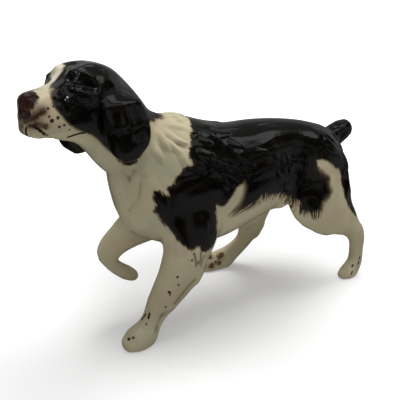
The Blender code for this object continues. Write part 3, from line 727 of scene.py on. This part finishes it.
# Painted coat
# Under the clear glaze the black is brushed on in two or three coats, feathered out with a
# dry brush where it meets the white; flecks and the nose are touched in with brown.
# Outlines are (along, up) on the body and (forward, up) or (forward, out) on the head.
NEAR_BLACK = [
    (-18, 135), (-19.2, 118.5), (-21.1, 116.7), (-24.9, 113.6), (-26.2, 109.6),
    (-28.3, 107.2), (-29.7, 104.7), (-27.9, 100.1), (-32.8, 99.5), (-34.7, 97.4),
    (-37.6, 95.6), (-38.8, 92.1), (-42, 90.8), (-41.5, 86.9), (-44.4, 88), (-46.6, 90.2),
    (-49.4, 89.8), (-49.7, 86.6), (-47.9, 83.2), (-48.8, 79.2), (-46.3, 76.1),
    (-43.8, 71.1), (-40.2, 67.9), (-37.6, 63.2), (-34.6, 58.4), (-31.2, 54.8),
    (-28.3, 53.2), (-26.6, 55.0), (-24.4, 54.2), (-23, 51.3), (-20, 50), (-16, 50.2),
    (-12, 54), (-12, 60), (-12.4, 66), (-13.5, 71.5), (-13.2, 74.9), (-8.1, 72.8),
    (-5.3, 75.8), (-3.2, 78.8), (-0.5, 82.4), (4.1, 84.3),
    (4.6, 80.5), (3.6, 76), (2.0, 72), (0.4, 69.2), (-0.8, 67.4), (3, 67.8), (8, 68.8),
    (14, 69.6), (18, 71.4), (21.9, 71.2), (33.1, 68.4), (40.9, 63.2), (45.3, 60.1),
    (46.6, 57.4), (49.6, 54.3), (53.6, 52.6), (58.2, 51.7), (61.2, 55), (61.9, 59.6),
    (66.6, 61.9), (68.7, 64.5), (66.8, 68.8), (67, 73.4), (61.5, 78.1), (59, 79.9),
    (59.2, 83.5), (58.9, 84.6), (62.6, 85.2), (67.2, 82.9), (71.9, 79), (75.7, 76.8),
    (77, 71.9), (77.3, 68), (79.7, 61.2), (81, 57.5), (83.1, 53.9), (86, 49.5),
    (88.8, 46.4), (91.6, 43.4), (95.5, 41.0), (112, 60), (112, 135),
]
NECK_TOP = [(-34.5, 135), (-34.5, 121.5), (-40.7, 121.8), (-43.8, 120.8), (-46, 119), (-60, 135)]
HEAD_BLACK = [
    (49.0, 160), (49.0, 145.0), (48.6, 144.1), (51.3, 143.1), (52.2, 141.4), (52.6, 139.6),
    (52.1, 137.6), (50.9, 135.2), (49.3, 132.5), (47.3, 130.0), (43.2, 126.8), (39.5, 124.8),
    (35.7, 122.9), (32.1, 119.7), (28.4, 116.0), (24.1, 111.6), (20.9, 107.8), (17.5, 103.8),
    (15.3, 102.8), (12.8, 105.2), (10.5, 112), (7, 120.5), (2, 121.8), (-3, 122.5), (-9, 122.5),
    (-14, 124), (-14, 160),
]
BLAZE = [
    (37.2, -2.6), (38.6, -2.0), (39.2, -1.6), (40.1, -1.0), (41.9, -0.9), (44.3, -0.8),
    (46.5, -0.9), (48.6, 1.3), (51.3, 5.4), (60, 6), (60, -8), (50, -6), (47.2, -3.1),
    (45.6, -3.1), (44.3, -3.7), (42.6, -6.8), (41.0, -8.6), (37.8, -9.5), (37.0, -6.0),
]
FRINGE = [(19.0, 71.0), (33.0, 67.6), (43.0, 63.0), (47.0, 58.5), (58.0, 51.5)]
SWEEP = [(-3.0, 65.6), (1.5, 67.0), (8.0, 68.2), (16.0, 69.6)]
SMOKY = [(4.6, 82.0), (3.6, 76.0), (-0.5, 69.5)]
SMOKY_THIGH = [(62.0, 58.0), (67.0, 66.0), (62.0, 77.0)]

# Brush marks: place and radius, a stain's strength too
FLECKS = [
    (-37.1, -28.1, 39.1, 0.75), (-36.5, -28.2, 34.2, 0.6), (-41.9, -27.2, 31.3, 0.7),
    (-44, -26.9, 22.4, 0.7), (-54.4, -24.4, 14.4, 0.55), (-64.1, -22.7, 7.6, 0.9),
    (-62.4, -24.5, 8.7, 0.8), (-27.9, -30.1, 51.3, 0.6), (-29.2, -30, 48.3, 0.6),
    (-65.8, 4.5, 43, 0.8), (-59.2, 1.9, 34, 0.45), (20, 25.6, 9.6, 0.8),
    (-60.5, 14.5, 45.0, 0.7), (31.0, 33.5, 20.0, 0.8),
    (28.5, 33.8, 14.5, 0.6), (96.0, -16.5, 10.5, 0.7), (-38.5, -15.5, 28.0, 0.7),
    (-40.9, -27.3, 30.9, 0.65), (-41.3, -27.2, 29.6, 0.6),
]
DASHES = [
    [(-55.3, -20.6, 15.6), (-53.2, -21.8, 18.6)], [(-52.9, -24.0, 17.6), (-52.1, -24.0, 20.0)],
    [(96.9, -33.1, 14.0), (96.4, -33.1, 12.6)], [(96.2, -33.1, 10.8), (95.8, -33.1, 9.4)],
    [(91.8, -32.9, 9.4), (90.6, -32.9, 8.4)], [(90.6, -33.7, 5.4), (89.8, -33.8, 4.0)],
]
STAINS = [
    (-24.9, -29.6, 45.0, 2.0, 0.7), (-22.6, -29.5, 45.8, 1.8, 0.6), (-21.1, -29.6, 48.4, 1.8, 0.5),
    (20.3, 26.2, 9.8, 3.4, 0.9), (25.8, 22.5, 9.9, 3.4, 1.0), (24.1, 22.0, 6.9, 3.0, 0.8),
    (19.5, 22.9, 5.4, 3.0, 0.8), (14.5, 24.0, 5.0, 3.0, 0.6), (95.0, -33.0, 8.0, 3.0, 0.4),
    (-44.0, -14.0, 26.0, 2.4, 0.5), (-55.0, 12.0, 40.0, 2.2, 0.4),
]
OLIVE_STREAK = [(-26.5, -28.0, 34.2), (-31.2, -27.9, 30.5), (-35.1, -27.4, 26.4), (-38, -27, 23)]
MUZZLE_FLECKS = [
    (55.1, 8.7, 137.8, 0.60), (52.8, 8.8, 138.2, 0.50), (52.0, 10.4, 133.6, 0.72),
    (54.9, 10.3, 132.9, 0.95), (51.8, 10.6, 129.8, 0.70), (49.6, 10.9, 130.1, 0.62),
    (46.5, 9.7, 127.2, 0.48), (55.5, 9.7, 134.7, 0.50), (56.1, 9.4, 134.0, 0.40),
]
LIP_BROWN = [(57.7, 8.2, 137.0), (60.2, 6.2, 135.0), (60.9, 3.2, 133.1), (60.9, 0.0, 132.5)]
FAR_LIP = [(60.9, -2.6, 134.0), (60.3, -2.6, 130.6), (60.5, -2.2, 127.4)]
LOW_BROWN = [(60.2, 7.4, 132.1), (57.9, 9.6, 131.0), (60.2, 7.4, 132.1), (60.3, 2.4, 130.0)]
RED_NOSE = [(61.0, 1.0, 138.6), (60.5, 3.5, 138.0)]
BLAZE_WHITE_AND_LIGHT = [(37.5, -4.5, 152.0), (47.0, -2.5, 148.0)]
DASH_RADIUS = 0.55
NOSE_MIDDLE, NOSE_HALF = (58.8, 0.0, 140.3), (4.6, 6.9, 4.7)
SNUB_MIDDLE, SNUB_HALF = (61.0, 0.0, 136.6), (4.0, 4.9, 3.6)
NOSE_BACK = 53.0
BLAZE_FOOT = 143.0
STROKE = 24.0               # how far the fringe's strokes carry the black
NECK_FRONT, NECK_FOOT = -10.0, 103.0

# Palette
CREAM, PALE_CREAM = (0.68, 0.61, 0.405), (0.60, 0.535, 0.355)
PINK_TINGE, GREEN_TINGE = (0.52, 0.41, 0.29), (0.42, 0.43, 0.29)
SHIN_SHADE_BUFF = (0.40, 0.34, 0.215)
WHITE_AND_LIT_CREAM = (0.80, 0.77, 0.61)
KHAKI_POOL_AND_SHADE = (0.27, 0.235, 0.145)
OLIVE = (0.20, 0.18, 0.085)
STAIN_WASH, STAIN_BROWN = (0.30, 0.22, 0.11), (0.12, 0.07, 0.032)
LIP_WASH, LIP_DARK = (0.17, 0.105, 0.062), (0.065, 0.030, 0.017)
BLACK, CLOUDED_BLACK = (0.0040, 0.0038, 0.0032), (0.0055, 0.0045, 0.0035)
THIN_BROWN, THIN_TAN = (0.11, 0.075, 0.04), (0.25, 0.175, 0.09)
BROWN_BLACK = (0.022, 0.012, 0.007)
FLECK_BROWN = (0.034, 0.020, 0.012)
LEATHER, RED_LEATHER = (0.024, 0.011, 0.008), (0.070, 0.019, 0.010)
LINE_BROWN = (0.020, 0.015, 0.010)


def inside_outline(flat, outline):
    """Distance from each flat row to an outline's edge, positive inside it."""
    edge = from_path(flat, outline + outline[:1])
    inner = np.zeros(len(flat), dtype=bool)
    for (ax, ay), (bx, by) in zip(outline, outline[1:] + outline[:1]):
        crosses = (flat[:, 1] < ay) != (flat[:, 1] < by)
        height = by - ay if by != ay else 1e-9
        inner ^= crosses & (flat[:, 0] < ax + (flat[:, 1] - ay) / height * (bx - ax))
    return np.where(inner, edge, -edge)


def keep_field(mesh, name, values):
    mesh.attributes.new(name, "FLOAT", "POINT").data.foreach_set("value", values)


def paint_fields(mesh, all_black=False):
    """The painter's marks, with the painted shade and light, as fields in millimetres on the mesh.
    """
    rows = rows_of(mesh)
    out = rows_of(mesh, "normal")
    head, both = head_sides(rows)

    # Black: the far side's outline wanders from the near side's, and the insides are white
    flat = rows[:, (0, 2)].copy()
    far = smooth_step(rows[:, 1], -7.0, 12.0)
    flat[:, 0] += far * (3.2 * np.sin(rows[:, 2] * 0.13 + 0.6) + 2.0)
    flat[:, 1] += far * (2.6 * np.sin(rows[:, 0] * 0.11 + 1.7) - 1.0)
    black = inside_outline(flat, NEAR_BLACK)
    inner = np.where(rows[:, 1] < MIDDLE_Y, out[:, 1], -out[:, 1])
    low = smooth_step(-rows[:, 2], -84.0, -72.0)
    black -= 9.0 * smooth_step(-out[:, 2], 0.35, 0.8) * low
    black -= 12.0 * smooth_step(inner, 0.30, 0.75) * low
    black = np.maximum(black, inside_outline(rows[:, (0, 2)], NECK_TOP))
    face = inside_outline(both[:, (0, 2)], HEAD_BLACK)
    blaze = inside_outline(head[:, :2], BLAZE)
    face = np.minimum(face, np.where(rows[:, 2] > BLAZE_FOOT, -blaze, 9.0))
    ahead = (head[:, 0] > NECK_FRONT) & (rows[:, 2] > NECK_FOOT)
    black = np.where(ahead, np.maximum(np.where(head[:, 0] > 0.0, -9.0, black), face), black)
    if all_black:
        black[:] = 6.0
    keep_field(mesh, "black_reach", np.clip(black, -9.0, 9.0))

    # How its edge is brushed out
    rough = smooth_step(-head[:, 0], -30.0, -12.0) * 0.36 + 0.10
    keep_field(mesh, "feather", rough)
    keep_field(mesh, "fringe", bell(from_path(flat, FRINGE), 4.0))
    keep_field(mesh, "sweep", bell(from_path(flat, SWEEP), 3.2))
    smoky = np.maximum(bell(from_path(flat, SMOKY), 4.5), bell(from_path(flat, SMOKY_THIGH), 5.0))
    keep_field(mesh, "smoky", smoky)
    ways = coat_ways(rows)
    keep_field(mesh, "comb", smooth_step(np.arctan2(-ways[:, 2], ways[:, 0]), 0.35, 1.15))

    # Flecks and dashes of the brush tip
    fleck = np.full(len(rows), -9.0)
    for *centre, radius in FLECKS:
        seat = rows[from_path(rows, [centre]).argmin()]
        fleck = np.maximum(fleck, radius - from_path(rows, [seat]))
    for dash in DASHES:
        seats = [rows[from_path(rows, [end]).argmin()] for end in dash]
        fleck = np.maximum(fleck, DASH_RADIUS - from_path(rows, seats))
    for *centre, radius in MUZZLE_FLECKS:
        fleck = np.maximum(fleck, radius - from_path(both, [centre]))
    keep_field(mesh, "fleck", np.clip(fleck, -3.0, 3.0))

    # Nose and lips
    leather = 1.0 - np.sqrt((((both - NOSE_MIDDLE) / NOSE_HALF) ** 2).sum(axis=1))
    under = 1.0 - np.sqrt((((both - SNUB_MIDDLE) / SNUB_HALF) ** 2).sum(axis=1))
    leather = np.maximum(NOSE_HALF[0] * leather, SNUB_HALF[2] * under)
    leather = np.where(head[:, 0] > NOSE_BACK, leather, -9.0)
    keep_field(mesh, "leather", np.clip(leather, -4.0, 4.0))
    keep_field(mesh, "nose_red", bell(from_path(both, RED_NOSE), 2.6))
    lips = bell(from_path(both, LIP_BROWN), 2.6)
    lips = np.maximum(lips, 0.80 * bell(from_path(both, [(60.3, 6.0, 133.5)]), 5.0))
    lips = np.maximum(lips, 0.9 * bell(from_path(both, LOW_BROWN), 2.3))
    lips = np.maximum(lips, 0.9 * bell(from_path(head, FAR_LIP), 4.0))
    keep_field(mesh, "lip_brown", lips)
    # Paler cream on the blaze's top: partly its whiter paint, partly painted light where the top
    # of the head catches the light.
    keep_field(mesh, "blaze_white_and_light", bell(from_path(head, BLAZE_WHITE_AND_LIGHT), 4.6))
    line = np.full(len(rows), -2.0)
    for path, _, _, reach in CREASES:
        line = np.maximum(line, reach - from_path(head, path))
    keep_field(mesh, "dark_line", line)

    # Stains, and where the glaze pools in hollows, darker there also as painted shade, and thins
    # out on ridges
    stain = np.zeros(len(rows))
    for *centre, radius, strength in STAINS:
        seat = rows[from_path(rows, [centre]).argmin()]
        stain = np.maximum(stain, strength * bell(from_path(rows, [seat]), radius))
    keep_field(mesh, "stain", stain)
    keep_field(mesh, "olive", bell(from_path(rows, OLIVE_STREAK), 1.1))
    # Painted shade on the legs, darkest a little above the paw and fading out towards the belly.
    leg_shade = smooth_step(-rows[:, 2], -60.0, -28.0) * smooth_step(rows[:, 2], 7.0, 19.0)
    keep_field(mesh, "shin_shade", leg_shade)
    links = pairs_of(mesh)
    soft = eased(rows, links, 24, np.full(len(rows), 0.5))
    pooled_glaze_and_shade = ((soft - rows) * out).sum(axis=1)
    keep_field(mesh, "pooled_glaze_and_shade", eased(pooled_glaze_and_shade[:, None], links, 2, np.full(len(rows), 0.5))[:, 0])


def glaze(name):
    """Clear lead glaze over the painted clay."""
    material = bpy.data.materials.new(name)
    pot = cleared(material)
    place = pot.add("TexCoord", output="Object")

    def noise(scale, detail=2.0, turned=0.0, stretch=(1.0, 1.0, 1.0), centre=(0.0, 0.0, 0.0)):
        where = pot.add("Mapping", {"vector_type": "TEXTURE"},
                        {0: place, 1: centre, 2: (0.0, turned, 0.0), 3: stretch})
        return pot.add("TexNoise", None, {"Vector": where, "Scale": scale, "Detail": detail})

    def mark(field):
        return pot.add("Attribute", {"attribute_name": field}, None, "Fac")

    # Strokes of the dry brush
    hair_back = noise(1500.0, 2.0, math.radians(18.0), (9.0, 1.0, 1.0))
    hair_down = noise(1500.0, 2.0, math.radians(68.0), (9.0, 1.0, 1.0), (0.3, 0.1, 0.2))
    comb = mark("comb")
    hair = hair_back * (1.0 - comb) + hair_down * comb
    tufts = noise(300.0, 2.0, math.radians(45.0), (2.5, 1.0, 1.0))
    cloud = noise(28.0, 3.0)
    fine = noise(420.0, 2.0)
    ragged = (hair - 0.5) * 8.0 + (tufts - 0.5) * 3.0
    reach = mark("black_reach")
    fringe = mark("fringe")
    sweep = mark("sweep")
    drawn = fringe.most(sweep)
    strand = noise(1900.0, 1.0, math.radians(86.0), (12.0, 9.0, 1.0), (0.1, 0.2, 0.4))
    slant = noise(1700.0, 1.0, math.radians(-27.0), (12.0, 9.0, 1.0), (0.3, 0.1, 0.1))
    edge = reach + ragged * mark("feather") + (strand - 0.5) * STROKE * fringe - fringe * 0.5
    edge = edge + (slant - 0.5) * STROKE * sweep
    edge = edge * (1.0 - mark("smoky") * 0.75)
    thin = edge.rise(-1.00 - drawn * 3.5, 0.45)
    solid = edge.rise(-0.40, 1.10 + drawn * 1.2)

    # Cream ground with its tinges, painted shade on the shins and in its pools, and brown marks
    white = cloud.rise(0.3, 0.75).tint(CREAM, PALE_CREAM)
    white = (noise(45.0, 2.0).rise(0.48, 0.68) * 0.5).tint(white, PINK_TINGE)
    white = (noise(60.0, 2.0, 0.5).rise(0.48, 0.68) * 0.5).tint(white, GREEN_TINGE)
    # Painted shade on the shins.
    white = (mark("shin_shade") * 0.42).tint(white, SHIN_SHADE_BUFF)
    # The blaze's top paler: whiter paint and painted light.
    white = (mark("blaze_white_and_light") * 0.85).tint(white, WHITE_AND_LIT_CREAM)
    # Khaki where the glaze pools in hollows, deepened as painted shade.
    white = mark("pooled_glaze_and_shade").rise(0.02, 0.28, 0.0, 0.9).tint(white, KHAKI_POOL_AND_SHADE)
    white = (mark("olive") * 0.85).tint(white, OLIVE)
    stained = mark("stain")
    white = (stained * 0.7).tint(white, STAIN_WASH)
    white = (stained * 1.3 + (fine - 0.5) * 2.2).rise(0.55, 1.0).tint(white, STAIN_BROWN)
    lip = mark("lip_brown")
    white = (lip * 0.95).tint(white, LIP_WASH)
    grain = (fine - 0.5) * 1.5 + (noise(900.0, 2.0) - 0.5) * 1.2
    white = (lip * (1.1 + grain)).rise(0.45, 1.25).tint(white, LIP_DARK)

    # Black over it, brown where it is thin, then the flecks, the nose and the drawn lines
    dark = cloud.rise(0.35, 0.7).tint(BLACK, CLOUDED_BLACK)
    colour = thin.tint(white, drawn.tint(THIN_BROWN, THIN_TAN))
    colour = solid.tint(colour, dark)
    warm = (reach + (tufts - 0.5) * 4.0).rise(0.6, 4.2, 0.75, 0.0) * solid * mark("feather")
    colour = warm.tint(colour, BROWN_BLACK)
    fleck = (mark("fleck") + (fine - 0.5) * 0.7).rise(-0.26, 0.20)
    colour = fleck.tint(colour, FLECK_BROWN)
    nose = (mark("leather") + (fine - 0.5) * 1.2).rise(-0.25, 0.35)
    colour = nose.tint(colour, mark("nose_red").tint(LEATHER, RED_LEATHER))
    colour = mark("dark_line").rise(0.04, 0.20).tint(colour, LINE_BROWN)

    # The fired surface, with the slight ripple of a thick glaze
    gloss = noise(45.0, 3.0).rise(0.3, 0.7, 0.035, 0.10)
    ripple = noise(210.0, 2.0)
    bump = pot.add("Bump", None, {"Strength": 0.30, "Distance": 0.00018, "Height": ripple})
    fired = pot.add("BsdfPrincipled", None, {
        "Base Color": colour, "Roughness": gloss, "IOR": 1.52, "Normal": bump,
    })
    pot.add("OutputMaterial", None, {0: fired})
    return material


paint_fields(clay)
keep_field(clay, "sheet_number", np.arange(len(body), dtype=float))
clay_normals = rows_of(clay, "normal")
coat_glaze = glaze("painted_coat_glaze")

# Skins of the fused castings
# Each casting keeps its own share of the worked clay, closed inside the wall where it meets
# its neighbours. The normals of the whole figure carry the glaze across the joins.
PIECE_NAMES = {
    "torso": "body_casting", "head": "head_casting", "tail": "tail_casting",
    "left_foreleg": "near_foreleg", "right_foreleg": "raised_foreleg",
    "left_hindleg": "near_hindleg", "right_hindleg": "far_hindleg",
}
RIM_DEPTH = 1.2             # how far a skin turns in at its rim, where another casting begins


def finish_piece(name, mesh, node):
    """The object of a finished mesh, riding on the figure in place of its casting."""
    item = put(name, mesh)
    mesh.materials.clear()
    mesh.materials.append(coat_glaze)
    mesh.polygons.foreach_set("use_smooth", [True] * len(mesh.polygons))
    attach(item, "root")
    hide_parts(node)
    return item


def slice_of(number):
    """The faces of one casting cut out of the worked clay, with the painter's fields and those of
    the painted shade and light.
    """
    mine = part_of_corner == number
    kept = np.unique(corner_vertex[mine])
    sizes = corners[part_of_face == number]
    piece = bpy.data.meshes.new("slice")
    piece.vertices.add(len(kept))
    piece.loops.add(int(mine.sum()))
    piece.polygons.add(len(sizes))
    places = np.searchsorted(kept, corner_vertex[mine]).astype(np.int32)
    piece.loops.foreach_set("vertex_index", places)
    piece.polygons.foreach_set("loop_start", (np.cumsum(sizes) - sizes).astype(np.int32))
    piece.update(calc_edges=True)
    set_rows(piece, body[kept])
    for field in clay.attributes:
        if field.domain == "POINT" and field.data_type == "FLOAT":
            values = np.empty(len(clay.vertices))
            field.data.foreach_get("value", values)
            keep_field(piece, field.name, values[kept])
    return piece


for number, name in enumerate(CAST_PARTS):
    bm = bmesh.new()
    bm.from_mesh(slice_of(number))
    sheet_number = bm.verts.layers.float["sheet_number"]
    rim = [e for e in bm.edges if e.is_boundary]
    turned_in = bmesh.ops.extrude_edge_only(bm, edges=rim)["geom"]
    for vertex in (g for g in turned_in if isinstance(g, bmesh.types.BMVert)):
        outward = Vector(clay_normals[int(vertex[sheet_number] + 0.5)])
        vertex.co -= outward * RIM_DEPTH * MM
    hole = [e for e in bm.edges if e.is_boundary]
    caps = bmesh.ops.holes_fill(bm, edges=hole, sides=0)["faces"]
    bmesh.ops.triangulate(bm, faces=caps)
    bmesh.ops.recalc_face_normals(bm, faces=bm.faces)
    mesh = bpy.data.meshes.new(PIECE_NAMES[name])
    numbers = [int(v[sheet_number] + 0.5) for v in bm.verts]
    bm.to_mesh(mesh)
    bm.free()
    finish_piece(PIECE_NAMES[name], mesh, name)
    mesh.normals_split_custom_set_from_vertices(clay_normals[numbers])
    mesh.attributes.remove(mesh.attributes["sheet_number"])

# Ears
# The ears are cast apart and luted on behind the cheek. Their front edge rolls outward, the
# leather falls in two soft folds, and a fine line is left where they lie on the head.
EAR_GRAIN = 0.42
EAR_SWELL = 0.14
EAR_PASSES = 26
EARS = (                    # node, side, and how far its folds lie off the near ear's
    ("left_ear", 1.0, (0.0, 0.0)),
    ("right_ear", -1.0, (3.6, -2.6)),
)
EAR_FOLDS = (               # path as (forward, up), width, and how far the leather stands out
    ([(30.2, 138.5), (31.6, 135.0), (31.8, 129.0), (31.4, 124.0)], 1.9, 0.11),
    ([(25.2, 139.5), (25.6, 134.0), (26.4, 127.0), (24.6, 118.0)], 2.8, -0.13),
    ([(22.4, 141.0), (22.8, 134.0), (22.0, 126.0), (19.6, 117.0)], 3.0, 0.13),
    ([(19.8, 139.0), (18.8, 134.0), (17.6, 129.0), (15.0, 121.0)], 3.0, -0.16),
)
ROOT_FOOT = 134.0           # above this the ear's root goes into the skull
ROOT_BLEND = (134.5, 142.0)
ROOT_FREE = -0.3            # a point deeper in the skull than this stays
ROOT_DEPTH = 0.4
ROOT_PASSES = 8

graph = bpy.context.evaluated_depsgraph_get()
skull = BVHTree.FromObject(bpy.data.objects["head_casting"], graph)
for name, sign, slide in EARS:
    ear = worked(name, casting(name, EAR_SWELL), EAR_GRAIN)
    rows = rows_of(ear)
    links = pairs_of(ear)
    rows = calmed(rows, links, EAR_PASSES)
    set_rows(ear, rows)
    out = rows_of(ear, "normal")
    flat = head_axes(rows)[:, (0, 2)] - slide
    across = out @ np.array((math.sin(HEAD_TURN), -math.cos(HEAD_TURN), 0.0)) * sign
    shown = smooth_step(across, -0.2, 0.4)
    lift = np.zeros(len(rows))
    for path, width, stand in EAR_FOLDS:
        lift += stand * bell(from_path(flat, path), width)
    rows += out * (lift * shown)[:, None]
    for index in np.flatnonzero(rows[:, 2] > ROOT_FOOT):
        foot, way_out, _, _ = skull.find_nearest(Vector(rows[index]) * MM)
        height = (Vector(rows[index]) - foot / MM).dot(way_out)
        sunk = smooth_step(rows[index, 2], *ROOT_BLEND)
        if height > ROOT_FREE:
            rows[index] = foot / MM + way_out * (height * (1.0 - sunk) - ROOT_DEPTH * sunk)
    rows = eased(rows, links, ROOT_PASSES, 0.5 * smooth_step(rows[:, 2], 133.0, 136.0))
    set_rows(ear, rows)
    paint_fields(ear, all_black=True)
    finish_piece(name.split("_")[0] + "_ear_leather", ear, name)
